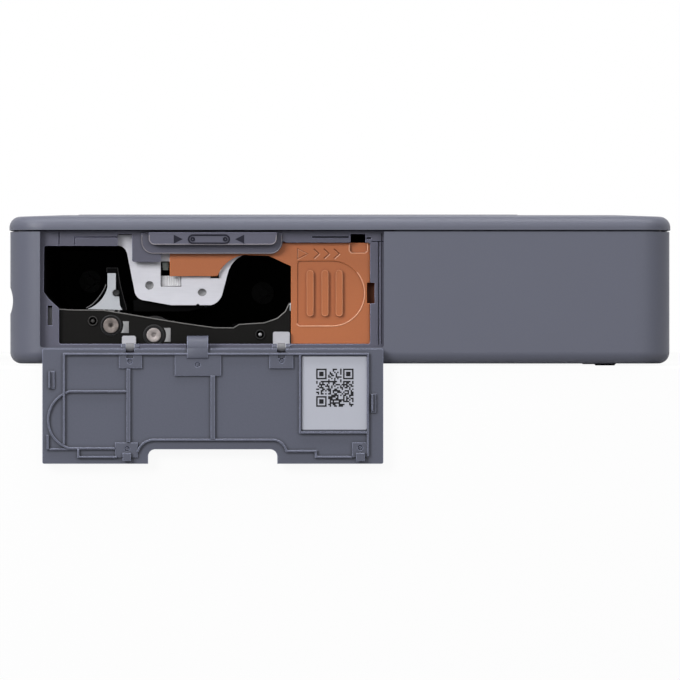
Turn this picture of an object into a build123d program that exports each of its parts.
from build123d import *

import math
import os

# Compact photo printer with its ink door hanging open on the near long side.
# The frame: +X to the right when facing the ink door, -Y towards the viewer, +Z up.
# The origin is midway between the four feet, on the plane that they stand on.

# ---- driving dimensions, mm -------------------------------------------------------

LENGTH = 147.1
WIDTH = 102.2
HEIGHT = 33.65
CORNER_R = 8.0
WALL = 1.8

FOOT_DROP = 0.45
FLOOR_THICK = 1.6
ROLL_R = 2.5
SEAM_Z = 29.7
SEAM_GAP = 0.35
CAP_OVERHANG = 0.2

CASE_LENGTH = LENGTH - 2 * CAP_OVERHANG
CASE_WIDTH = WIDTH - 2 * CAP_OVERHANG
CASE_R = CORNER_R - CAP_OVERHANG
MIDDLE_X = -0.3
REAR_END_X = MIDDLE_X - CASE_LENGTH / 2
FRONT_END_X = MIDDLE_X + CASE_LENGTH / 2
CASE_FACE_Y = CASE_WIDTH / 2
INNER_FACE_Y = CASE_FACE_Y - WALL
FLOOR_Z = FOOT_DROP + FLOOR_THICK
CAP_Z = SEAM_Z + SEAM_GAP

# The recess that the ink door closes, and the door's own size.
RECESS_X = (-66.7, 9.45)
RECESS_Z = 4.0
DOOR_X = (-66.1, 9.3)
DOOR_THICK = 1.5
DOOR_FACE_Y = -CASE_FACE_Y
DOOR_RIB = 0.8
DOOR_REACH = 25.7
DOOR_EDGE = 0.25

# The ink door's hinge line lies just in front of the casing's face.
HINGE_Y = -CASE_FACE_Y - 0.25
HINGE_Z = 4.0
HINGE_PIN_R = 0.45
HINGE_EYE_R = 1.0
HINGE_EAR_R = 0.85
HINGES_X = (-46.75, -13.25)
CLAW_WIDTH = 1.7
EAR_WIDTH = 1.1
HINGE_HALF = CLAW_WIDTH / 2 + EAR_WIDTH
RUNNING_GAP = 0.05

FRAME_FACE_Y = -48.5
FRAME_THICK = 1.0

# The cassette bay runs from the near chassis plate to the far one.
BAY_NEAR_Y = -45.3
BAY_FAR_Y = 38.8
NEAR_PLATE = (-47.3, BAY_NEAR_Y)
FAR_PLATE = (BAY_FAR_Y, 40.6)

# Rollers, as (x, z) of their axes.
PLATEN = (-41.6, 6.75)
PLATEN_R = 4.3
PLATEN_SHAFT_R = 1.57
GRIP = (-51.1, 8.9)
GRIP_R = 1.7
PINCH_R = 1.9
PINCH = (GRIP[0], GRIP[1] + GRIP_R + 0.1 + PINCH_R)
PICKUP = (1.0, 15.5)
PICKUP_R = 3.6
PICKUP_SHAFT_R = 1.0
HEAD_PIVOT = (-27.5, 21.5)
HEAD_SHAFT_R = 1.0
BUSH_R = 2.4

# Spool centres in the two lobes of the cassette bay.
SUPPLY = (-58.8, 19.4)
TAKEUP = (-18.4, 16.7)

# Gear train on the far side of the far plate.
MODULE = 0.5
GEAR_Y = (41.4, 44.4)
MOTOR = (-3.0, 24.6)
MOTOR_R = 3.9
TEETH = {"pinion": 10, "first": 24, "takeup": 18, "second": 26, "third": 26, "grip": 20}

# Paper tunnel behind the front cover.
TUNNEL_X = (-6.0, 69.2)
TUNNEL_HALF = 37.0
TUNNEL_WALL = 1.5
TUNNEL_Z = (FLOOR_Z, 20.6)
DECK_THICK = 1.2

COVER_HINGE = (71.65, 4.9)
COVER_BARREL_R = 1.4
COVER_TOP_Z = 21.0
COVER_PIN_R = 0.7

POWER_BUTTON = (57.0, -14.0, 3.6)
LINK_BUTTON = (57.0, 0.0, 2.5)
LAMP = (57.0, 12.0)
BUTTON_GAP = 0.12
BUTTON_DROP = 0.15

PORT = (46.0, 25.7)

POSTS = ((-68.95, -38.0), (-68.95, 43.2), (66.2, -44.6), (66.2, 44.6))
POST_R = 1.8
SCREW_R = 0.75
POST_MEET_Z = 7.0

os.makedirs("parts", exist_ok=True)


# ---- small helpers ----------------------------------------------------------------


def facing(y):
    """Plane facing the viewer at depth y: local x is X and local y is Z."""
    return Plane(origin=(0, y, 0), x_dir=(1, 0, 0), z_dir=(0, -1, 0))


def block(x, y, z, mode=Mode.ADD):
    """Box between the limits given for X, Y and Z."""
    with Locations(((x[0] + x[1]) / 2, (y[0] + y[1]) / 2, (z[0] + z[1]) / 2)):
        Box(x[1] - x[0], y[1] - y[0], z[1] - z[0], mode=mode)


def rod(centre, radius, y, mode=Mode.ADD):
    """Round bar along Y about the (x, z) centre, between the depths y."""
    with Locations(((centre[0], (y[0] + y[1]) / 2, centre[1]))):
        Cylinder(radius, y[1] - y[0], rotation=(90, 0, 0), mode=mode)


def pin(centre, radius, x, mode=Mode.ADD):
    """Round bar along X about the (y, z) centre, between the ends x."""
    with Locations((((x[0] + x[1]) / 2, centre[0], centre[1]))):
        Cylinder(radius, x[1] - x[0], rotation=(0, 90, 0), mode=mode)


def save(builder, name):
    """Label a finished sub-part and write it to its own file."""
    builder.part.label = name
    export_step(builder.part, f"parts/{name}.step")


def involute(angle):
    return math.tan(angle) - angle


def tooth_points(teeth, backlash=0.06):
    """Corners of one tooth, root to root, as polar (radius, angle) pairs about the tooth's middle."""
    pressure = math.radians(20)
    pitch_r = MODULE * teeth / 2
    base_r = pitch_r * math.cos(pressure)
    root_r = pitch_r - 1.15 * MODULE
    tip_r = pitch_r + 0.85 * MODULE
    half = (math.pi / 2 - backlash / MODULE) / teeth + involute(pressure)
    flank = []
    for radius in (root_r, max(pitch_r, base_r), tip_r):
        if radius <= base_r:
            angle = half + 0.02
        else:
            angle = half - involute(math.acos(base_r / radius))
        flank.append((radius, angle))
    return [(r, -a) for r, a in flank] + [(r, a) for r, a in reversed(flank)]


def gear_outline(teeth, turn):
    """Points round a spur gear with a tooth centred at the angle turn, in radians."""
    points = []
    for tooth in range(teeth):
        middle = turn + 2 * math.pi * tooth / teeth
        for radius, angle in tooth_points(teeth):
            points.append((radius * math.cos(middle + angle), radius * math.sin(middle + angle)))
    return points


def pitch_radius(name):
    return MODULE * TEETH[name] / 2


def mesh_distance(a, b):
    """Distance between the axes of two named gears that mesh."""
    return pitch_radius(a) + pitch_radius(b)


def idler_centre(a, b, from_a, from_b, side):
    """Centre at two given distances from a and b, on the left (+1) or right (-1) of a to b."""
    span = math.dist(a, b)
    along = (from_a**2 - from_b**2 + span**2) / (2 * span)
    across = side * math.sqrt(from_a**2 - along**2)
    ux, uz = (b[0] - a[0]) / span, (b[1] - a[1]) / span
    return (a[0] + along * ux - across * uz, a[1] + along * uz + across * ux)


# ---- lower case: floor, walls and the openings in them ----------------------------

RECESS_MID_X = (RECESS_X[0] + RECESS_X[1]) / 2
RECESS_W = RECESS_X[1] - RECESS_X[0]
REAR_SLOT_Z = (13.0, 16.0)
REAR_SLOT_HALF = 36.0
GROOVE_Z = 14.35
GROOVE_DEPTH = 0.73
GROOVE_CHORD = 6.1
GROOVE_R = ((GROOVE_CHORD / 2) ** 2 + GROOVE_DEPTH**2) / (2 * GROOVE_DEPTH)
FRONT_GAP = 0.2
FRONT_HALF = TUNNEL_HALF + FRONT_GAP
STRAP_X = (-34.1, -29.45)
STRAP_R = 2.6
STRAP_THICK = 0.9
SILL_CUT_Z = 2.85
FOOT_SPOTS = [(x, y) for x in (-58.8, 58.8) for y in (-40.0, 40.0)]

with BuildPart() as lower_case:
    with BuildSketch(Plane.XY.offset(FOOT_DROP)):
        with Locations((MIDDLE_X, 0)):
            RectangleRounded(CASE_LENGTH, CASE_WIDTH, CASE_R)
    extrude(amount=SEAM_Z - FOOT_DROP)
    fillet(lower_case.faces().sort_by(Axis.Z)[0].edges(), ROLL_R)
    with BuildSketch(Plane.XY.offset(FLOOR_Z)):
        with Locations((MIDDLE_X, 0)):
            RectangleRounded(CASE_LENGTH - 2 * WALL, CASE_WIDTH - 2 * WALL, CASE_R - WALL)
    extrude(amount=SEAM_Z, mode=Mode.SUBTRACT)
    # stiffening ribs on the floor under the paper tunnel and the bay
    for x in (-24.0, -8.5):
        block((x - 0.5, x + 0.5), (-36, 38), (FLOOR_Z, FLOOR_Z + 0.8))
    # ink door recess, with soft lower corners
    with BuildSketch(facing(-CASE_FACE_Y - 1)):
        with Locations((RECESS_MID_X, RECESS_Z + 15)):
            RectangleRounded(RECESS_W, 30, 0.6)
        with Locations((RECESS_MID_X, SEAM_Z)):
            Rectangle(RECESS_W, 8)
    extrude(amount=-(WALL + 1.5), mode=Mode.SUBTRACT)
    # sill notches under the two hinges and the slot that the strap turns through
    for x in HINGES_X:
        block(
            (x - HINGE_HALF - 0.25, x + HINGE_HALF + 0.25),
            (-CASE_FACE_Y - 1, -INNER_FACE_Y + 0.5),
            (SILL_CUT_Z, RECESS_Z + 0.5),
            Mode.SUBTRACT,
        )
    block(
        (STRAP_X[0] - 0.3, STRAP_X[1] + 0.3),
        (-CASE_FACE_Y - 1, HINGE_Y + STRAP_R + 0.3),
        (HINGE_Z - STRAP_R - 0.2, RECESS_Z + 0.5),
        Mode.SUBTRACT,
    )
    # rear paper slot in its hollow groove
    with Locations((REAR_END_X + GROOVE_DEPTH - GROOVE_R, 0, GROOVE_Z)):
        Cylinder(GROOVE_R, WIDTH - 2 * 4.5, rotation=(90, 0, 0), mode=Mode.SUBTRACT)
    block((REAR_END_X, -70), (-REAR_SLOT_HALF, REAR_SLOT_HALF), REAR_SLOT_Z, Mode.SUBTRACT)
    # front opening for the paper cassette
    block(
        (69, FRONT_END_X + 1),
        (-FRONT_HALF, FRONT_HALF),
        (3.3, COVER_TOP_Z + FRONT_GAP),
        Mode.SUBTRACT,
    )
    # bosses for the front cover's pins
    for side in (-1, 1):
        near, far = sorted((side * (FRONT_HALF + 0.1), side * 41.4))
        block((69.5, 71.6), (near, far), (FLOOR_Z, 6.6))
        with Locations((COVER_HINGE[0], side * 39.3, COVER_HINGE[1])):
            Cylinder(COVER_PIN_R, 4.4, rotation=(90, 0, 0), mode=Mode.SUBTRACT)
    # charging port in the far wall
    with BuildSketch(facing(CASE_FACE_Y + 1)):
        with Locations(PORT):
            SlotOverall(9.6, 3.8)
    extrude(amount=WALL + 1.5, mode=Mode.SUBTRACT)
    # screw pillars, with the heads let in from below
    for spot in POSTS:
        with Locations((spot[0], spot[1], (FLOOR_Z + POST_MEET_Z - 0.2) / 2)):
            Cylinder(POST_R, POST_MEET_Z - 0.2 - FLOOR_Z)
        with Locations((spot[0], spot[1], 0)):
            Cylinder(SCREW_R + 0.15, 20, mode=Mode.SUBTRACT)
            Cylinder(1.5, 2 * 1.9, mode=Mode.SUBTRACT)
    # wells that hold the rubber feet
    for spot in FOOT_SPOTS:
        with Locations((spot[0], spot[1], FOOT_DROP)):
            Cylinder(2.5, 1.6, mode=Mode.SUBTRACT)
save(lower_case, "lower_case")


# ---- rubber feet ------------------------------------------------------------------

with BuildPart() as rubber_feet:
    for spot in FOOT_SPOTS:
        with Locations((spot[0], spot[1], FOOT_DROP / 2 + 0.4)):
            Cylinder(2.5, FOOT_DROP + 0.8)
    chamfer(rubber_feet.faces().group_by(Axis.Z)[0].edges(), FOOT_DROP - 0.03)
save(rubber_feet, "rubber_feet")


# ---- top cover: shallow crowned cap -----------------------------------------------

BOARD_X = (9.0, 67.0)
BOARD_HALF_Y = 42.0
BOARD_Z = (27.3, 28.5)
BOARD_HOLES = ((14, 36), (14, -36), (60, 34), (60, -34))
CAP_EDGE_Z = 33.1
CAP_ROUND = 2.4
CROWN_Z = HEIGHT - 0.12
PANEL_X = (-58.7, 39.4)
PANEL_HALF_Y = 39.5
CAP_INNER_Z = 31.2
LIP_THICK = 1.0
LIP_Z = 28.6

with BuildPart() as top_cover:
    with BuildSketch(Plane.XY.offset(CAP_Z)):
        with Locations((MIDDLE_X, 0)):
            RectangleRounded(LENGTH, WIDTH, CORNER_R)
    extrude(amount=CAP_EDGE_Z - CAP_Z)
    fillet(top_cover.faces().sort_by(Axis.Z)[-1].edges(), CAP_ROUND)
    # the crown rises gently from the rounded edge to the flat top
    with BuildSketch(Plane.XY.offset(CAP_EDGE_Z)):
        with Locations((MIDDLE_X, 0)):
            RectangleRounded(LENGTH - 2 * CAP_ROUND, WIDTH - 2 * CAP_ROUND, CORNER_R - CAP_ROUND)
    with BuildSketch(Plane.XY.offset(CROWN_Z)):
        with Locations((MIDDLE_X, 0)):
            RectangleRounded(LENGTH - 22, WIDTH - 22, 3.0)
    loft(ruled=True)
    # raised field of the grained grip pattern
    with BuildSketch(Plane.XY.offset(CROWN_Z - 0.3)):
        with Locations(((PANEL_X[0] + PANEL_X[1]) / 2, 0)):
            RectangleRounded(PANEL_X[1] - PANEL_X[0], 2 * PANEL_HALF_Y, 2.0)
    extrude(amount=HEIGHT - CROWN_Z + 0.3)
    # hollow underside
    with BuildSketch(Plane.XY.offset(CAP_Z)):
        with Locations((MIDDLE_X, 0)):
            RectangleRounded(LENGTH - 2 * WALL - 0.6, WIDTH - 2 * WALL - 0.6, CORNER_R - WALL)
    extrude(amount=CAP_INNER_Z - CAP_Z, mode=Mode.SUBTRACT)
    # locating lip that drops inside the lower case
    with BuildSketch(Plane.XY.offset(LIP_Z)):
        lip = (CASE_LENGTH - 2 * WALL - 0.2, CASE_WIDTH - 2 * WALL - 0.2)
        inside = (lip[0] - 2 * LIP_THICK, lip[1] - 2 * LIP_THICK)
        with Locations((MIDDLE_X, 0)):
            RectangleRounded(*lip, CASE_R - WALL)
            RectangleRounded(*inside, CASE_R - WALL - LIP_THICK, mode=Mode.SUBTRACT)
        with Locations((RECESS_MID_X, -CASE_FACE_Y)):
            Rectangle(RECESS_W + 5, 12, mode=Mode.SUBTRACT)
    extrude(amount=CAP_INNER_Z + 0.3 - LIP_Z)
    # holes for the two buttons and the lamp
    with Locations((POWER_BUTTON[0], POWER_BUTTON[1], HEIGHT)):
        Cylinder(POWER_BUTTON[2] + BUTTON_GAP, 6, mode=Mode.SUBTRACT)
    with Locations((LINK_BUTTON[0], LINK_BUTTON[1], HEIGHT)):
        Cylinder(LINK_BUTTON[2] + BUTTON_GAP, 6, mode=Mode.SUBTRACT)
    with Locations((LAMP[0], LAMP[1], HEIGHT)):
        Cylinder(0.8, 6, mode=Mode.SUBTRACT)
    # pillars that stand on those of the lower case
    for spot in POSTS:
        with Locations((spot[0], spot[1], (POST_MEET_Z + CAP_INNER_Z + 0.3) / 2)):
            Cylinder(POST_R, CAP_INNER_Z + 0.3 - POST_MEET_Z)
        with Locations((spot[0], spot[1], POST_MEET_Z)):
            Cylinder(SCREW_R, 2 * 7.0, mode=Mode.SUBTRACT)
    # bosses that the main board hangs from
    for spot in BOARD_HOLES:
        with Locations((spot[0], spot[1], (BOARD_Z[1] + CAP_INNER_Z + 0.3) / 2)):
            Cylinder(2.0, CAP_INNER_Z + 0.3 - BOARD_Z[1])
        with Locations((spot[0], spot[1], BOARD_Z[1])):
            Cylinder(SCREW_R, 2 * 2.6, mode=Mode.SUBTRACT)
save(top_cover, "top_cover")


# ---- case screws ------------------------------------------------------------------

with BuildPart() as case_screws:
    for spot in POSTS:
        with Locations((spot[0], spot[1], 1.9 - 0.6)):
            Cylinder(1.4, 1.2)
        with Locations((spot[0], spot[1], 1.9 + 11.0 / 2)):
            Cylinder(SCREW_R, 11.0)
save(case_screws, "case_screws")


# ---- bay frame: the grey bezel behind the door, with the finger tab ---------------

HOOKS_X = ((-48.3, -46.5), (3.3, 5.2))
HOOK_SLOT_X = (2.05, 5.35)
# Fine lines moulded into the bezel, as limits in x and in z.
BEZEL_LINES = (
    ((-62.7, -62.5), (26.8, 30.0)),
    ((-59.2, -59.0), (26.8, 28.6)),
    ((-59.2, -49.5), (28.4, 28.6)),
    ((-6.5, 1.7), (28.3, 28.65)),
    ((5.6, 6.6), (28.0, 28.5)),
    ((6.7, 9.4), (27.4, 27.6)),
    ((8.15, 8.5), (4.6, 27.4)),
)
TAB_X = (-42.6, -14.3)
SCOOP_X = (-44.3, -13.1)
SCOOP_Z = 24.8

with BuildPart() as bay_frame:
    block((-68.6, 11.0), (FRAME_FACE_Y, FRAME_FACE_Y + FRAME_THICK), (2.4, 29.9))
    # the bay's mouth, which follows the left well and opens up beside the tab for the left hook
    with BuildSketch(facing(FRAME_FACE_Y - 1)) as mouth:
        with BuildLine():
            Polyline(
                (6.4, 4.8),
                (6.4, 27.3),
                (-13.0, 27.3),
                (-13.0, SCOOP_Z),
                (-40.0, SCOOP_Z),
                (-40.0, 23.0),
                (-46.4, 23.0),
                (-46.4, 29.2),
                (-49.6, 29.2),
                (-49.6, 26.55),
                (-65.9, 26.55),
                (-66.0, 16.4),
                (-65.0, 14.9),
                (-63.8, 13.8),
                (-62.6, 12.7),
                (-62.6, 4.8),
                close=True,
            )
        make_face()
        fillet(mouth.vertices().filter_by(lambda v: not (-50 < v.X < -46 and v.Y > 26)), 0.45)
    extrude(amount=-3, mode=Mode.SUBTRACT)
    # rim behind the casing wall, round the recess
    with BuildSketch(facing(-INNER_FACE_Y + 0.1)):
        with Locations((RECESS_MID_X, 15.95)):
            Rectangle(79.6, 27.1)
            with Locations((0, 1.0)):
                Rectangle(RECESS_W + 0.8, 28.0, mode=Mode.SUBTRACT)
    extrude(amount=-(INNER_FACE_Y - 0.1 + FRAME_FACE_Y))
    # trimmed to the rounded corner inside the casing
    with BuildSketch(Plane.XY.offset(FLOOR_Z)):
        with Locations((MIDDLE_X, 0)):
            RectangleRounded(CASE_LENGTH - 2 * WALL - 0.2, CASE_WIDTH - 2 * WALL - 0.2, CASE_R - WALL)
    extrude(amount=SEAM_Z, mode=Mode.INTERSECT)
    # room for the hinge blocks and for the strap to turn
    for x in HINGES_X:
        block((x - HINGE_HALF - 0.05, x + HINGE_HALF + 0.05), (-50, -47), (3.0, 4.8), Mode.SUBTRACT)
    block(
        (STRAP_X[0] - 0.3, STRAP_X[1] + 0.3),
        (-50, HINGE_Y + STRAP_R + 0.3),
        (HINGE_Z - STRAP_R - 0.2, HINGE_Z + STRAP_R + 0.3),
        Mode.SUBTRACT,
    )
    # bevelled surround of the tab, where the fingertip goes under the door
    with BuildSketch(facing(FRAME_FACE_Y - 0.4)):
        with Locations(((SCOOP_X[0] + SCOOP_X[1]) / 2, SCOOP_Z + 6)):
            RectangleRounded(SCOOP_X[1] - SCOOP_X[0], 12, 2.6)
        with Locations((0, 40)):
            Rectangle(200, 21, mode=Mode.SUBTRACT)
    extrude(amount=-0.9)
    # raised tab, flush with the casing, that fills the door's cut-out
    with BuildSketch(facing(-CASE_FACE_Y + 0.1)):
        with Locations(((TAB_X[0] + TAB_X[1]) / 2, 26.75 + 4)):
            RectangleRounded(TAB_X[1] - TAB_X[0], 8, 1.3)
        with Locations((0, 40)):
            Rectangle(200, 21, mode=Mode.SUBTRACT)
    extrude(amount=-3.0)
    # slots for the locating lugs at the door's two ends
    block((-65.15, -64.05), (-50, -47), (8.9, 13.3), Mode.SUBTRACT)
    block((6.3, 7.4), (-50, -47), (13.75, 18.4), Mode.SUBTRACT)
    for x, z in BEZEL_LINES:
        block(x, (-50, FRAME_FACE_Y + 0.4), z, Mode.SUBTRACT)
    # rails that guide the eject slider, top and bottom
    block((-38.0, 11.0), (FRAME_FACE_Y + FRAME_THICK - 0.1, BAY_NEAR_Y), (27.6, 28.4))
    block((-11.0, 11.0), (FRAME_FACE_Y + FRAME_THICK - 0.1, BAY_NEAR_Y), (3.7, 4.5))
    # slot that the door's right hook snaps into
    block(HOOK_SLOT_X, (-50, BAY_NEAR_Y), (27.2, 29.2), Mode.SUBTRACT)
save(bay_frame, "bay_frame")


# ---- near chassis plate: carries the rollers beside the bay's mouth ---------------

LOCATING_HOLES = ((-55.15, 9.9), (-18.0, 6.9))

with BuildPart() as near_plate:
    with BuildSketch(facing(NEAR_PLATE[0])) as near_outline:
        with BuildLine():
            Polyline(
                (-65.5, FLOOR_Z),
                (-65.5, 15.8),
                (-62.6, 12.45),
                (-52.5, 12.2),
                (-36.5, 9.5),
                (-28.2, 8.3),
                (-23.7, 8.3),
                (-22.7, 9.15),
                (-17.1, 9.5),
                (-13.2, 11.0),
                (-11.4, 14.0),
                (-11.4, FLOOR_Z),
                close=True,
            )
        make_face()
        soft = near_outline.vertices().filter_by(lambda v: 8 < v.Y < 13 and v.X < -12)
        fillet(soft, 0.6)
        with Locations(PLATEN, GRIP):
            Circle(BUSH_R, mode=Mode.SUBTRACT)
        with Locations(*LOCATING_HOLES):
            Circle(0.8, mode=Mode.SUBTRACT)
    extrude(amount=-(NEAR_PLATE[1] - NEAR_PLATE[0]))
    # bright rings round the locating holes
    with BuildSketch(facing(NEAR_PLATE[0])):
        with Locations(*LOCATING_HOLES):
            Circle(1.15)
            Circle(0.8, mode=Mode.SUBTRACT)
    extrude(amount=0.25)
save(near_plate, "near_plate")


# ---- far chassis plate: closes the bay and carries the gear train ------------------

SECOND_RISE = math.radians(8)
SECOND_REACH = mesh_distance("takeup", "second")
FIRST = idler_centre(
    MOTOR, TAKEUP, mesh_distance("pinion", "first"), mesh_distance("first", "takeup"), 1
)
SECOND = (
    TAKEUP[0] - SECOND_REACH * math.cos(SECOND_RISE),
    TAKEUP[1] + SECOND_REACH * math.sin(SECOND_RISE),
)
THIRD = idler_centre(
    SECOND, GRIP, mesh_distance("second", "third"), mesh_distance("third", "grip"), -1
)
STUD_R = 0.8
SPINDLE_R = 1.2

with BuildPart() as far_plate:
    with BuildSketch(facing(FAR_PLATE[0])):
        with BuildLine():
            Polyline(
                (-66.9, FLOOR_Z),
                (6.0, FLOOR_Z),
                (6.0, 28.2),
                (-66.9, 28.2),
                close=True,
            )
        make_face()
        with Locations(PLATEN, GRIP):
            Circle(BUSH_R, mode=Mode.SUBTRACT)
        with Locations(TAKEUP, SUPPLY):
            Circle(SPINDLE_R + RUNNING_GAP, mode=Mode.SUBTRACT)
        with Locations(PICKUP):
            Circle(PICKUP_SHAFT_R + RUNNING_GAP, mode=Mode.SUBTRACT)
        with Locations(HEAD_PIVOT):
            Circle(HEAD_SHAFT_R, mode=Mode.SUBTRACT)
        with Locations(PINCH):
            Circle(0.8 + RUNNING_GAP, mode=Mode.SUBTRACT)
        with Locations(MOTOR):
            Circle(1.6, mode=Mode.SUBTRACT)
    extrude(amount=-(FAR_PLATE[1] - FAR_PLATE[0]))
    # studs that the idler gears turn on
    for centre in (FIRST, SECOND, THIRD):
        rod(centre, STUD_R, (FAR_PLATE[1] - 0.1, GEAR_Y[1] + 0.8))
        rod(centre, STUD_R + 0.7, (FAR_PLATE[1] - 0.1, GEAR_Y[0] - 0.15))
save(far_plate, "far_plate")


# ---- walls of the two spool wells --------------------------------------------------


with BuildPart() as supply_well:
    with BuildSketch(facing(BAY_NEAR_Y + 0.05)) as supply_outline:
        with BuildLine():
            Polyline(
                (-49.2, 27.8),
                (-67.1, 27.8),
                (-67.1, 15.6),
                (-62.9, 11.15),
                (-55.5, 11.15),
                (-55.5, 12.35),
                (-62.5, 12.35),
                (-65.9, 16.0),
                (-65.9, 26.6),
                (-49.2, 26.6),
                close=True,
            )
        make_face()
        fillet(supply_outline.vertices().filter_by(lambda v: v.X < -60), 1.1)
    extrude(amount=-(BAY_FAR_Y - BAY_NEAR_Y - 0.05))
save(supply_well, "supply_well")

with BuildPart() as takeup_well:
    with BuildSketch(facing(BAY_NEAR_Y + 0.05)) as takeup_outline:
        with BuildLine():
            Polyline(
                (-21.8, 25.5),
                (-15.9, 25.5),
                (-9.9, 22.8),
                (-9.9, 13.7),
                (-13.0, 9.8),
                (-17.0, 8.35),
                (-24.2, 8.1),
                (-24.2, 9.3),
                (-17.2, 9.55),
                (-13.8, 10.8),
                (-11.1, 14.1),
                (-11.1, 22.0),
                (-16.2, 24.3),
                (-21.8, 24.3),
                close=True,
            )
        make_face()
        fillet(takeup_outline.vertices().filter_by(lambda v: -18 < v.X < -9), 0.8)
    extrude(amount=-(BAY_FAR_Y - BAY_NEAR_Y - 0.05))
save(takeup_well, "takeup_well")


# ---- head bracket: pale pressed-metal bridge between the wells ---------------------

BRACKET_Y = -46.35

with BuildPart() as head_bracket:
    with BuildSketch(facing(BRACKET_Y)):
        with BuildLine():
            Line((-49.7, 29.1), (-49.7, 26.65))
            ThreePointArc((-49.7, 26.65), (-48.25, 26.05), (-47.55, 24.85))
            Line((-47.55, 24.85), (-45.85, 16.2))
            ThreePointArc((-45.85, 16.2), (-45.25, 15.15), (-43.95, 14.5))
            Line((-43.95, 14.5), (-37.8, 13.4))
            Line((-37.8, 13.4), (-28.9, 13.4))
            ThreePointArc((-28.9, 13.4), (-27.15, 14.5), (-26.3, 16.3))
            Line((-26.3, 16.3), (-25.2, 20.4))
            ThreePointArc((-25.2, 20.4), (-23.85, 23.05), (-21.8, 24.55))
            Line((-21.8, 24.55), (-20.0, 25.3))
            Line((-20.0, 25.3), (-20.0, 27.6))
            Line((-20.0, 27.6), (-46.0, 27.6))
            Line((-46.0, 27.6), (-46.0, 29.1))
            Line((-46.0, 29.1), (-49.7, 29.1))
        make_face()
        with Locations((-42.6, 17.8)):
            Circle(0.95, mode=Mode.SUBTRACT)
        with Locations((-30.9, 16.25)):
            Ellipse(0.98, 0.83, mode=Mode.SUBTRACT)
        with Locations((-37.8, 20.35)):
            Rectangle(4.6, 5.6, mode=Mode.SUBTRACT)
        with Locations((-31.85, 13.3)):
            Circle(0.4, mode=Mode.SUBTRACT)
        with Locations(HEAD_PIVOT):
            Circle(HEAD_SHAFT_R, mode=Mode.SUBTRACT)
    extrude(amount=-1.0)
    # relief under the slider's arm
    block((-29.05, -27.15), (-47, -45), (19.4, 20.6), Mode.SUBTRACT)
    # top web that carries the load across to the far plate
    block((-47.0, -26.0), (BRACKET_Y, FAR_PLATE[0]), (26.8, 27.6))
    block((-47.0, -26.0), (FAR_PLATE[0] - 1.0, FAR_PLATE[0]), (24.0, 27.6))
save(head_bracket, "head_bracket")

with BuildPart() as head_shaft:
    rod(HEAD_PIVOT, HEAD_SHAFT_R, (-46.2, FAR_PLATE[1]))
save(head_shaft, "head_shaft")


# ---- print head: carrier arms, finned heat sink and ceramic strip ------------------

HEAD_Y = (-42.6, 36.1)
STRIP_Z = 12.15
SINK_Z = (13.2, 17.4)
SINK_X = (-45.3, -31.0)
ARM_Y = ((HEAD_Y[0] - 1.2, HEAD_Y[0]), (HEAD_Y[1], HEAD_Y[1] + 1.2))

with BuildPart() as heat_sink:
    block(SINK_X, HEAD_Y, (SINK_Z[0], SINK_Z[0] + 1.6))
    fins = 6
    pitch = (SINK_X[1] - SINK_X[0] - 0.9) / (fins - 1)
    for fin in range(fins):
        left = SINK_X[0] + fin * pitch
        block((left, left + 0.9), HEAD_Y, (SINK_Z[0] + 1.5, SINK_Z[1]))
save(heat_sink, "heat_sink")

with BuildPart() as head_strip:
    block((-44.4, -38.8), (HEAD_Y[0] + 2, HEAD_Y[1] - 2), (STRIP_Z + 0.15, SINK_Z[0]))
    rod((PLATEN[0], STRIP_Z + 0.55), 0.4, (HEAD_Y[0] + 4, HEAD_Y[1] - 4))
save(head_strip, "head_strip")

with BuildPart() as head_arms:
    for arm in ARM_Y:
        with BuildSketch(facing(arm[0])) as arm_outline:
            with BuildLine():
                Polyline(
                    (SINK_X[0], SINK_Z[0]),
                    (-30.0, SINK_Z[0]),
                    (HEAD_PIVOT[0] + 1.6, HEAD_PIVOT[1] - 1.8),
                    (HEAD_PIVOT[0] + 1.6, HEAD_PIVOT[1] + 1.8),
                    (HEAD_PIVOT[0] - 1.8, HEAD_PIVOT[1] + 1.8),
                    (SINK_X[0], SINK_Z[1]),
                    close=True,
                )
            make_face()
            fillet(arm_outline.vertices().filter_by(lambda v: v.X > -31 and v.Y > 18), 0.8)
            with Locations(HEAD_PIVOT):
                Circle(HEAD_SHAFT_R + RUNNING_GAP, mode=Mode.SUBTRACT)
        extrude(amount=-(arm[1] - arm[0]))
    # cross tube between the two arms, round the shaft
    rod(HEAD_PIVOT, 1.8, (ARM_Y[0][0], ARM_Y[1][1]))
    rod(HEAD_PIVOT, HEAD_SHAFT_R + RUNNING_GAP, (ARM_Y[0][0] - 1, ARM_Y[1][1] + 1), Mode.SUBTRACT)
save(head_arms, "head_arms")


# ---- rollers and their bushes ------------------------------------------------------

with BuildPart() as platen_shaft:
    rod(PLATEN, PLATEN_SHAFT_R, (-47.9, FAR_PLATE[1] + 0.3))
save(platen_shaft, "platen_shaft")

with BuildPart() as platen_rubber:
    rod(PLATEN, PLATEN_R, (-44.6, 37.6))
    rod(PLATEN, PLATEN_SHAFT_R, (-46, 40), Mode.SUBTRACT)
save(platen_rubber, "platen_rubber")

with BuildPart() as grip_roller:
    rod(GRIP, GRIP_R, (-47.9, GEAR_Y[1] + 0.6))
    # knurled bands that grip the paper's edges
    for y in (-34.0, 24.0):
        with BuildSketch(facing(y)):
            with Locations(GRIP):
                RegularPolygon(GRIP_R + 0.06, 24)
        extrude(amount=-8.0)
save(grip_roller, "grip_roller")

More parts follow.
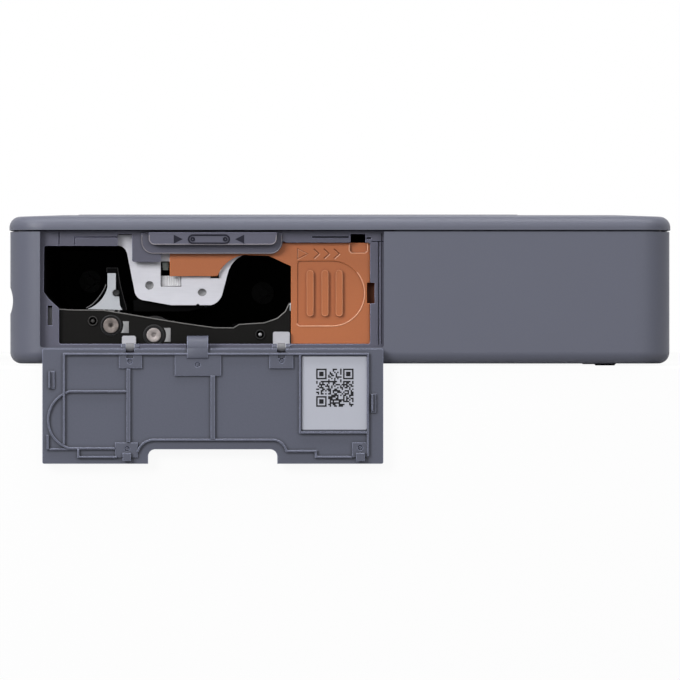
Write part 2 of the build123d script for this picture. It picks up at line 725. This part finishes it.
BUSHES = ((PLATEN, PLATEN_SHAFT_R), (GRIP, GRIP_R))
with BuildPart() as roller_bushes:
    for centre, shaft_r in BUSHES:
        for plate in (NEAR_PLATE, FAR_PLATE):
            rod(centre, BUSH_R, plate)
    for centre, shaft_r in BUSHES:
        rod(centre, shaft_r + RUNNING_GAP, (-50, 50), Mode.SUBTRACT)
save(roller_bushes, "roller_bushes")

with BuildPart() as pinch_roller:
    rod(PINCH, PINCH_R, (-43.2, 37.6))
    rod(PINCH, 0.8, (-44.9, FAR_PLATE[1] - 0.3))
save(pinch_roller, "pinch_roller")

# White guide at the bay's mouth, whose back carries the pinch roller's bar.
with BuildPart() as finger_guide:
    with BuildSketch(facing(NEAR_PLATE[0] + 0.1)):
        with BuildLine():
            Line((-51.9, 20.5), (-50.05, 20.5))
            Line((-50.05, 20.5), (-50.05, 16.9))
            ThreePointArc((-50.05, 16.9), (-50.8, 16.15), (-50.05, 15.37))
            Line((-50.05, 15.37), (-49.3, 15.3))
            Line((-49.3, 15.3), (-49.15, 13.4))
            Line((-49.15, 13.4), (-48.6, 12.35))
            Line((-48.6, 12.35), (-56.3, 12.55))
            ThreePointArc((-56.3, 12.55), (-53.3, 14.6), (-51.9, 17.4))
            Line((-51.9, 17.4), (-51.9, 20.5))
        make_face()
    extrude(amount=-(BAY_NEAR_Y - NEAR_PLATE[0] - 0.1))
save(finger_guide, "finger_guide")

HOLDER_X = (PINCH[0] - 1.4, PINCH[0] + 1.4)
HOLDER_Z = (PINCH[1] + PINCH_R + 0.3, PINCH[1] + PINCH_R + 1.9)
with BuildPart() as pinch_holder:
    block(HOLDER_X, (BAY_NEAR_Y, FAR_PLATE[0]), HOLDER_Z)
    block(HOLDER_X, (BAY_NEAR_Y, BAY_NEAR_Y + 1.6), (PINCH[1] - 1.2, HOLDER_Z[1]))
    rod(PINCH, 0.8 + RUNNING_GAP, (BAY_NEAR_Y - 1, BAY_NEAR_Y + 2), Mode.SUBTRACT)
save(pinch_holder, "pinch_holder")


# ---- eject slider ------------------------------------------------------------------

SLIDER_Y = (-47.35, -45.65)
PAD_X = (-9.8, -2.1)
PAD_Z = (8.85, 23.25)
PAD_MID_Z = (PAD_Z[0] + PAD_Z[1]) / 2
PAD_RIBS_X = (-6.9, -3.6, -0.45)

with BuildPart() as eject_slider:
    with BuildSketch(facing(SLIDER_Y[0])):
        with Locations((-2.4, 16.05)):
            Rectangle(17.5, 22.4)
        # notch at the right edge, for the lug at the door's end
        with Locations((6.6, 16.1)):
            Rectangle(1.8, 4.6, mode=Mode.SUBTRACT)
    extrude(amount=-(SLIDER_Y[1] - SLIDER_Y[0]))
    # arm that reaches left behind the tab to the cassette's catch
    with BuildSketch(facing(SLIDER_Y[0])):
        with BuildLine():
            Line((-10.9, 27.25), (-38.05, 27.25))
            Line((-38.05, 27.25), (-38.05, 19.85))
            Line((-38.05, 19.85), (-27.5, 19.85))
            ThreePointArc((-27.5, 19.85), (-25.85, 22.4), (-23.2, 24.15))
            Line((-23.2, 24.15), (-21.6, 24.55))
            Line((-21.6, 24.55), (-16.1, 24.35))
            Line((-16.1, 24.35), (-11.1, 22.05))
            Line((-11.1, 22.05), (-10.9, 27.25))
        make_face()
    extrude(amount=-0.8)
    # sunk thumb pad with a round right end, and its three upright grip ribs
    with BuildSketch(facing(SLIDER_Y[0])) as pad_outline:
        with BuildLine():
            Line((PAD_X[0], PAD_Z[0]), (PAD_X[1], PAD_Z[0]))
            ThreePointArc((PAD_X[1], PAD_Z[0]), (PAD_X[1] + 7.2, PAD_MID_Z), (PAD_X[1], PAD_Z[1]))
            Line((PAD_X[1], PAD_Z[1]), (PAD_X[0], PAD_Z[1]))
            Line((PAD_X[0], PAD_Z[1]), (PAD_X[0], PAD_Z[0]))
        make_face()
        fillet(pad_outline.vertices().filter_by(lambda v: v.X < -9), 0.8)
    extrude(amount=-0.35, mode=Mode.SUBTRACT)
    with BuildSketch(facing(SLIDER_Y[0] + 0.35)):
        with Locations([(x, PAD_MID_Z) for x in PAD_RIBS_X]):
            SlotOverall(10.3, 1.55, rotation=90)
    extrude(amount=0.75)
    # catch seat for the door's right hook
    with BuildSketch(facing(SLIDER_Y[0] - 0.1)):
        with Locations((3.85, 26.9)):
            RectangleRounded(4.05, 4.0, 0.7)
    extrude(amount=-0.75, mode=Mode.SUBTRACT)
save(eject_slider, "eject_slider")

with BuildPart() as slide_keeper:
    block((-9.7, 10.8), (BAY_NEAR_Y, BAY_NEAR_Y + 1.0), (3.0, 27.1))
    with BuildSketch(facing(BAY_NEAR_Y)):
        with Locations((0.5, 15.7)):
            RectangleRounded(12, 12, 2)
    extrude(amount=-3, mode=Mode.SUBTRACT)
save(slide_keeper, "slide_keeper")


# ---- ink door, hanging open ---------------------------------------------------------

OPEN_BACK_Y = 2 * HINGE_Y - DOOR_FACE_Y
OPEN_FACE_Y = OPEN_BACK_Y - DOOR_THICK
DOOR_TOP_Z = HINGE_Z - DOOR_EDGE
DOOR_FREE_Z = HINGE_Z - DOOR_REACH
DOOR_MID_X = (DOOR_X[0] + DOOR_X[1]) / 2
RIB_W = 0.42

# Each straight rib as its middle and its size, in (x, z).
STRAIGHT_RIBS = (
    ((-27.7, 2.57), (67.6, RIB_W)),
    ((-61.3, -7.4), (RIB_W, 20.0)),
    ((5.9, -8.7), (RIB_W, 22.6)),
    ((-47.05, -8.8), (0.8, 16.2)),
    ((-28.4, -9.2), (0.95, 14.0)),
    ((-9.1, -6.2), (RIB_W, 17.6)),
    ((-1.6, -14.8), (15.0, RIB_W)),
    ((-58.15, -19.4), (RIB_W, 1.8)),
    ((-54.0, -20.2), (8.7, RIB_W)),
    ((-64.9, -16.9), (RIB_W, 3.1)),
)
# Each raised pad as its limits in x and in z, and the holes in the pads.
DOOR_PADS = (
    ((-49.15, -44.05), (-0.6, 2.5)),
    ((-15.9, -10.6), (-0.6, 2.5)),
    ((-36.8, -26.55), (-2.25, 2.5)),
    ((-50.0, -45.0), (-20.3, -17.0)),
    ((2.4, 5.9), (-20.3, -17.0)),
    ((-64.7, -63.4), (-5.1, -1.2)),
    ((6.6, 7.7), (-10.4, -6.2)),
    ((-65.1, -58.1), (-18.7, -18.3)),
)
PAD_HOLES = ((-46.75, 0.95), (-13.15, 1.15), (-31.8, 0.27), (-47.35, -18.35), (4.2, -18.15))

with BuildPart() as ink_door:
    with BuildSketch(facing(OPEN_BACK_Y)):
        with Locations((DOOR_MID_X, (DOOR_TOP_Z + DOOR_FREE_Z) / 2)):
            RectangleRounded(DOOR_X[1] - DOOR_X[0], DOOR_TOP_Z - DOOR_FREE_Z, 0.4)
        # cut-out in the free edge that fits round the tab
        with Locations(((TAB_X[0] + TAB_X[1]) / 2, DOOR_FREE_Z)):
            RectangleRounded(TAB_X[1] - TAB_X[0] + 0.3, 6.4, 1.6, mode=Mode.SUBTRACT)
        # notches that clear the fixed hinge eyes
        for x in HINGES_X:
            with Locations((x, DOOR_TOP_Z)):
                Rectangle(CLAW_WIDTH + 0.2, 1.8, mode=Mode.SUBTRACT)
    extrude(amount=DOOR_THICK)
    # perimeter rib, the two upright ribs and the frame round the label
    with BuildSketch(facing(OPEN_FACE_Y + 0.05)):
        for middle, size in STRAIGHT_RIBS:
            with Locations(middle):
                Rectangle(*size)
    extrude(amount=DOOR_RIB + 0.05)
    # the long looped rib on the left
    with BuildSketch(facing(OPEN_FACE_Y + 0.05)):
        with BuildLine():
            Line((-47.2, -5.7), (-60.1, -5.7))
            ThreePointArc((-60.1, -5.7), (-64.8, -12.0), (-60.1, -18.3))
            Line((-60.1, -18.3), (-50.1, -18.3))
        trace(line_width=RIB_W)
    extrude(amount=DOOR_RIB - 0.05)
    # the rib that runs round the cut-out and steps down to the right pad
    with BuildSketch(facing(OPEN_FACE_Y + 0.05)):
        with BuildLine():
            Line((-45.0, -19.1), (-45.0, -18.9))
            ThreePointArc((-45.0, -18.9), (-43.9, -17.3), (-41.2, -16.4))
            Line((-41.2, -16.4), (-15.1, -16.4))
            ThreePointArc((-15.1, -16.4), (-13.1, -17.2), (-12.1, -18.9))
            Line((-12.1, -18.9), (-5.6, -18.9))
            Line((-5.6, -18.9), (-5.6, -20.2))
            Line((-5.6, -20.2), (2.3, -20.2))
        trace(line_width=RIB_W)
    extrude(amount=DOOR_RIB - 0.05)
    # raised pads under the hinges, the strap and the hooks
    for x, z in DOOR_PADS:
        block(x, (OPEN_FACE_Y - 0.5, OPEN_FACE_Y + 0.05), z)
    # lugs that locate the door's two ends in the frame
    block((-64.7, -64.35), (OPEN_FACE_Y - 1.2, OPEN_FACE_Y + 0.05), (-4.9, -1.3))
    block((6.7, 7.05), (OPEN_FACE_Y - 1.2, OPEN_FACE_Y + 0.05), (-10.0, -6.3))
    # reliefs below the hinge eyes
    for x in HINGES_X:
        block((x - 0.8, x + 0.8), (OPEN_FACE_Y - 1, OPEN_FACE_Y - 0.1), (1.6, 2.35), Mode.SUBTRACT)
    # small blind holes in the pads
    for spot in PAD_HOLES:
        rod(spot, 0.55, (OPEN_FACE_Y - 1, OPEN_FACE_Y + 0.5), Mode.SUBTRACT)
    # snap hooks near the free edge
    for hook in HOOKS_X:
        block(hook, (OPEN_FACE_Y - 1.35, OPEN_FACE_Y + 0.05), (-20.7, -19.3))
        block(hook, (OPEN_FACE_Y - 1.35, OPEN_FACE_Y - 0.8), (-21.1, -19.3))
    # ears that turn on the pins, either side of each fixed eye
    for x in HINGES_X:
        for side in (-1, 1):
            ear = sorted((x + side * (CLAW_WIDTH / 2 + 0.12), x + side * HINGE_HALF))
            pin((HINGE_Y, HINGE_Z), HINGE_EAR_R, ear)
            block(ear, (HINGE_Y - HINGE_EAR_R, OPEN_BACK_Y), (3.0, HINGE_Z))
        pin((HINGE_Y, HINGE_Z), HINGE_PIN_R + RUNNING_GAP, (x - 3, x + 3), Mode.SUBTRACT)
    # curved strap that rolls through the sill's slot
    with BuildSketch(Plane.YZ.offset(STRAP_X[0])):
        with Locations((HINGE_Y, HINGE_Z)):
            Circle(STRAP_R)
            Circle(STRAP_R - STRAP_THICK, mode=Mode.SUBTRACT)
        with Locations((HINGE_Y - 0.3 + 5, HINGE_Z)):
            Rectangle(10, 12, mode=Mode.SUBTRACT)
    extrude(amount=STRAP_X[1] - STRAP_X[0])
save(ink_door, "ink_door")

with BuildPart() as door_label:
    with BuildSketch(facing(OPEN_FACE_Y)):
        with Locations((-1.52, -6.05)):
            RectangleRounded(14.35, 16.2, 0.35)
    extrude(amount=0.12)
save(door_label, "door_label")


# ---- hinge blocks and pins of the ink door ------------------------------------------

# The visible block of each hinge, as its limits in x and its top.
HINGE_FACE_Y = -48.4
HINGE_BLOCKS = (((-48.65, -45.55), 6.6), ((-15.15, -11.4), 7.5))

with BuildPart() as hinge_blocks:
    for x, (across, top) in zip(HINGES_X, HINGE_BLOCKS):
        eye = (x - CLAW_WIDTH / 2, x + CLAW_WIDTH / 2)
        pin((HINGE_Y, HINGE_Z), HINGE_EYE_R, eye)
        block(eye, (HINGE_Y, NEAR_PLATE[0]), (HINGE_Z - HINGE_EYE_R + 0.1, HINGE_Z + 0.1))
        with BuildSketch(facing(HINGE_FACE_Y)) as face:
            with Locations(((across[0] + across[1]) / 2, (HINGE_Z + top) / 2)):
                Rectangle(across[1] - across[0], top - HINGE_Z)
            fillet(face.vertices().group_by(Axis.Y)[-1], 0.45)
            chamfer(face.vertices().group_by(Axis.Y)[0], 0.55)
        extrude(amount=HINGE_FACE_Y - NEAR_PLATE[0])
        pin((HINGE_Y, HINGE_Z), HINGE_PIN_R, (x - 3, x + 3), Mode.SUBTRACT)
save(hinge_blocks, "hinge_blocks")

with BuildPart() as hinge_pins:
    for x in HINGES_X:
        pin((HINGE_Y, HINGE_Z), HINGE_PIN_R, (x - HINGE_HALF, x + HINGE_HALF))
save(hinge_pins, "hinge_pins")


# ---- gear train ---------------------------------------------------------------------


def make_gear(name, centre, turn, bore_r, hub_r):
    """Spur gear with a hub, cut for the shaft or stud it turns on."""
    with BuildPart() as gear:
        with BuildSketch(facing(GEAR_Y[0])):
            with Locations(centre):
                Polygon(*gear_outline(TEETH[name], turn), align=None)
                Circle(bore_r, mode=Mode.SUBTRACT)
        extrude(amount=-(GEAR_Y[1] - GEAR_Y[0]))
        if hub_r:
            with BuildSketch(facing(GEAR_Y[1])):
                with Locations(centre):
                    Circle(hub_r)
                    Circle(bore_r, mode=Mode.SUBTRACT)
            extrude(amount=-0.5)
    return gear


def meshing_turn(driver, driver_turn, driven, centre_a, centre_b):
    """Turn of the driven gear that puts a gap of its teeth on a tooth of the driver."""
    line = math.atan2(centre_b[1] - centre_a[1], centre_b[0] - centre_a[0])
    phase = (line - driver_turn) * TEETH[driver] / (2 * math.pi)
    driven_phase = 0.5 + phase
    return line + math.pi + driven_phase * 2 * math.pi / TEETH[driven]


TRAIN = (
    ("grip", GRIP, GRIP_R, 0),
    ("third", THIRD, STUD_R + RUNNING_GAP, 1.8),
    ("second", SECOND, STUD_R + RUNNING_GAP, 1.8),
    ("takeup", TAKEUP, SPINDLE_R, 0),
    ("first", FIRST, STUD_R + RUNNING_GAP, 1.8),
    ("pinion", MOTOR, 0.75, 0),
)
turn = 0.0
previous = None
for name, centre, bore_r, hub_r in TRAIN:
    if previous:
        turn = meshing_turn(previous[0], turn, name, previous[1], centre)
    save(make_gear(name, centre, turn, bore_r, hub_r), f"{name}_gear")
    previous = (name, centre)

with BuildPart() as drive_motor:
    rod(MOTOR, MOTOR_R, (18.0, FAR_PLATE[0]))
    # flats above and below the round can
    for flat in ((MOTOR[1] + 3.1, MOTOR[1] + 5), (MOTOR[1] - 5, MOTOR[1] - 3.1)):
        block((MOTOR[0] - 5, MOTOR[0] + 5), (17, FAR_PLATE[0]), flat, Mode.SUBTRACT)
    rod(MOTOR, 1.5, (FAR_PLATE[0] - 0.2, FAR_PLATE[0] + 1.0))
save(drive_motor, "drive_motor")

with BuildPart() as motor_shaft:
    rod(MOTOR, 0.75, (FAR_PLATE[0] + 1.0, GEAR_Y[1] + 0.4))
save(motor_shaft, "motor_shaft")


def make_spindle(centre, through_y):
    """Spool driver: a shaft through the far plate with a three-lobed dog inside the bay."""
    with BuildPart() as spindle:
        rod(centre, SPINDLE_R, (FAR_PLATE[0] - 4.0, through_y))
        rod(centre, 2.6, (FAR_PLATE[0] - 1.4, FAR_PLATE[0] - 0.2))
        with BuildSketch(facing(FAR_PLATE[0] - 1.3)):
            with Locations(centre):
                with PolarLocations(1.6, 3):
                    Rectangle(1.6, 0.9)
        extrude(amount=3.0)
    return spindle


save(make_spindle(TAKEUP, GEAR_Y[1] + 0.5), "takeup_spindle")
save(make_spindle(SUPPLY, FAR_PLATE[1] + 0.8), "supply_spindle")


# ---- paper tunnel, pick-up roller -----------------------------------------------------

with BuildPart() as paper_tunnel:
    outer_half = TUNNEL_HALF + TUNNEL_WALL
    with BuildSketch(Plane.YZ.offset(TUNNEL_X[0])):
        with Locations((0, (TUNNEL_Z[0] + TUNNEL_Z[1]) / 2)):
            Rectangle(2 * outer_half, TUNNEL_Z[1] - TUNNEL_Z[0])
        with Locations((0, (TUNNEL_Z[0] + TUNNEL_Z[1] - DECK_THICK) / 2)):
            Rectangle(2 * TUNNEL_HALF, TUNNEL_Z[1] - DECK_THICK - TUNNEL_Z[0] - 0.01, mode=Mode.SUBTRACT)
        with Locations((0, TUNNEL_Z[0])):
            Rectangle(2 * TUNNEL_HALF, 2.0, mode=Mode.SUBTRACT)
    extrude(amount=TUNNEL_X[1] - TUNNEL_X[0])
    # guide rails for the paper cassette along both walls
    for side in (-1, 1):
        rail = tuple(sorted((side * TUNNEL_HALF, side * (TUNNEL_HALF - 0.9))))
        block((8.0, TUNNEL_X[1] - 1), rail, (13.4, 14.2))
    # window in the deck above the pick-up roller
    block((PICKUP[0] - 4.2, PICKUP[0] + 4.2), (-9.5, 9.5), (17, 22), Mode.SUBTRACT)
    # seat of the pick-up shaft in the near wall, and the clearance in the far one
    rod(PICKUP, PICKUP_SHAFT_R + RUNNING_GAP, (-outer_half - 1, -TUNNEL_HALF + 1), Mode.SUBTRACT)
    rod(PICKUP, PICKUP_SHAFT_R + 0.5, (TUNNEL_HALF - 1, outer_half + 1), Mode.SUBTRACT)
save(paper_tunnel, "paper_tunnel")

with BuildPart() as pickup_roller:
    rod(PICKUP, PICKUP_R, (-7.0, 7.0))
    rod(PICKUP, PICKUP_SHAFT_R, (-8.0, 8.0), Mode.SUBTRACT)
save(pickup_roller, "pickup_roller")

with BuildPart() as pickup_shaft:
    rod(PICKUP, PICKUP_SHAFT_R, (-38.3, FAR_PLATE[1] + 0.2))
save(pickup_shaft, "pickup_shaft")


# ---- front cover ------------------------------------------------------------------------

with BuildPart() as front_cover:
    with BuildSketch(Plane.XZ.offset(TUNNEL_HALF)):
        with BuildLine():
            Line((FRONT_END_X, COVER_HINGE[1]), (FRONT_END_X, COVER_TOP_Z))
            Line((FRONT_END_X, COVER_TOP_Z), (FRONT_END_X - WALL, COVER_TOP_Z))
            Line((FRONT_END_X - WALL, COVER_TOP_Z), (FRONT_END_X - WALL, COVER_HINGE[1]))
            Line((FRONT_END_X - WALL, COVER_HINGE[1]), (FRONT_END_X, COVER_HINGE[1]))
        make_face()
        with Locations(COVER_HINGE):
            Circle(COVER_BARREL_R)
    extrude(amount=-2 * TUNNEL_HALF)
    # finger scoop at the top edge
    with BuildSketch(Plane.YZ.offset(FRONT_END_X)):
        with Locations((0, COVER_TOP_Z)):
            SlotOverall(18, 5)
    extrude(amount=-0.7, mode=Mode.SUBTRACT)
    # stiffening ribs on the inner face
    for y in (-24.0, 0.0, 24.0):
        block((FRONT_END_X - WALL - 0.8, FRONT_END_X - WALL + 0.1), (y - 0.4, y + 0.4), (8.0, 19.5))
    for side in (-1, 1):
        with Locations((COVER_HINGE[0], side * TUNNEL_HALF, COVER_HINGE[1])):
            Cylinder(COVER_PIN_R + RUNNING_GAP, 2 * 3.2, rotation=(90, 0, 0), mode=Mode.SUBTRACT)
save(front_cover, "front_cover")

with BuildPart() as cover_pins:
    for side in (-1, 1):
        with Locations((COVER_HINGE[0], side * 37.7, COVER_HINGE[1])):
            Cylinder(COVER_PIN_R, 7.4, rotation=(90, 0, 0))
save(cover_pins, "cover_pins")


# ---- electronics and battery ---------------------------------------------------------------

with BuildPart() as battery_pack:
    with BuildSketch(Plane.XY.offset(TUNNEL_Z[1])):
        with Locations((36.0, -4.0)):
            RectangleRounded(50.0, 62.0, 2.0)
    extrude(amount=5.4)
save(battery_pack, "battery_pack")

with BuildPart() as main_board:
    with BuildSketch(Plane.XY.offset(BOARD_Z[0])):
        with Locations(((BOARD_X[0] + BOARD_X[1]) / 2, 0)):
            Rectangle(BOARD_X[1] - BOARD_X[0], 2 * BOARD_HALF_Y)
        with Locations((BOARD_X[1], 42), (BOARD_X[1], -42)):
            Rectangle(8, 8, mode=Mode.SUBTRACT)
        with Locations(*BOARD_HOLES):
            Circle(SCREW_R + 0.2, mode=Mode.SUBTRACT)
    extrude(amount=BOARD_Z[1] - BOARD_Z[0])
save(main_board, "main_board")

with BuildPart() as board_screws:
    for spot in BOARD_HOLES:
        with Locations((spot[0], spot[1], BOARD_Z[0] - 0.45)):
            Cylinder(1.4, 0.9)
        with Locations((spot[0], spot[1], BOARD_Z[0] + 1.6)):
            Cylinder(SCREW_R, 3.2)
save(board_screws, "board_screws")

CHIPS = (
    ((22.0, 10.0), (11.0, 11.0), 1.0),
    ((38.0, 12.0), (9.0, 12.0), 1.0),
    ((24.0, -12.0), (8.0, 6.0), 1.2),
    ((40.0, -10.0), (6.0, 6.0), 1.6),
    ((20.0, -28.0), (5.0, 14.0), 1.8),
)
with BuildPart() as board_chips:
    for spot, size, height in CHIPS:
        with BuildSketch(Plane.XY.offset(BOARD_Z[1])):
            with Locations(spot):
                Rectangle(*size)
        extrude(amount=height)
save(board_chips, "board_chips")

with BuildPart() as button_switches:
    for x, y, r in (POWER_BUTTON, LINK_BUTTON):
        block((x - 2, x + 2), (y - 2, y + 2), (BOARD_Z[1], 29.6))
        with Locations((x, y, 29.6 + 0.2)):
            Cylinder(1.1, 0.4)
    block((LAMP[0] - 1, LAMP[0] + 1), (LAMP[1] - 0.7, LAMP[1] + 0.7), (BOARD_Z[1], 29.3))
save(button_switches, "button_switches")

with BuildPart() as charge_port:
    with BuildSketch(facing(48.9)):
        with Locations(PORT):
            SlotOverall(8.9, 3.2)
            SlotOverall(8.3, 2.6, mode=Mode.SUBTRACT)
    extrude(amount=7.4)
    with BuildSketch(facing(42.0)):
        with Locations(PORT):
            SlotOverall(8.9, 3.2)
    extrude(amount=0.6)
    block((PORT[0] - 3.2, PORT[0] + 3.2), (42.5, 47.6), (PORT[1] - 0.35, PORT[1] + 0.35))
save(charge_port, "charge_port")


def make_button(x, y, r):
    """Round key cap with a retaining flange below the cover and a stem over its switch."""
    with BuildPart() as button:
        top = CROWN_Z - BUTTON_DROP
        with Locations((x, y, (top + CAP_INNER_Z - 0.2) / 2)):
            Cylinder(r, top - CAP_INNER_Z + 0.2)
        fillet(button.edges().sort_by(Axis.Z)[-1], 0.25)
        with Locations((x, y, CAP_INNER_Z - 0.2 - 0.25)):
            Cylinder(r + 0.9, 0.5)
        with Locations((x, y, 30.65)):
            Cylinder(0.8, 0.4)
    return button


save(make_button(*POWER_BUTTON), "power_button")
save(make_button(*LINK_BUTTON), "link_button")

with BuildPart() as lamp_lens:
    with Locations((LAMP[0], LAMP[1], (CROWN_Z + 29.5) / 2)):
        Cylinder(0.8, CROWN_Z - 29.5)
    with Locations((LAMP[0], LAMP[1], CAP_INNER_Z - 0.4)):
        Cylinder(1.5, 0.8)
save(lamp_lens, "lamp_lens")
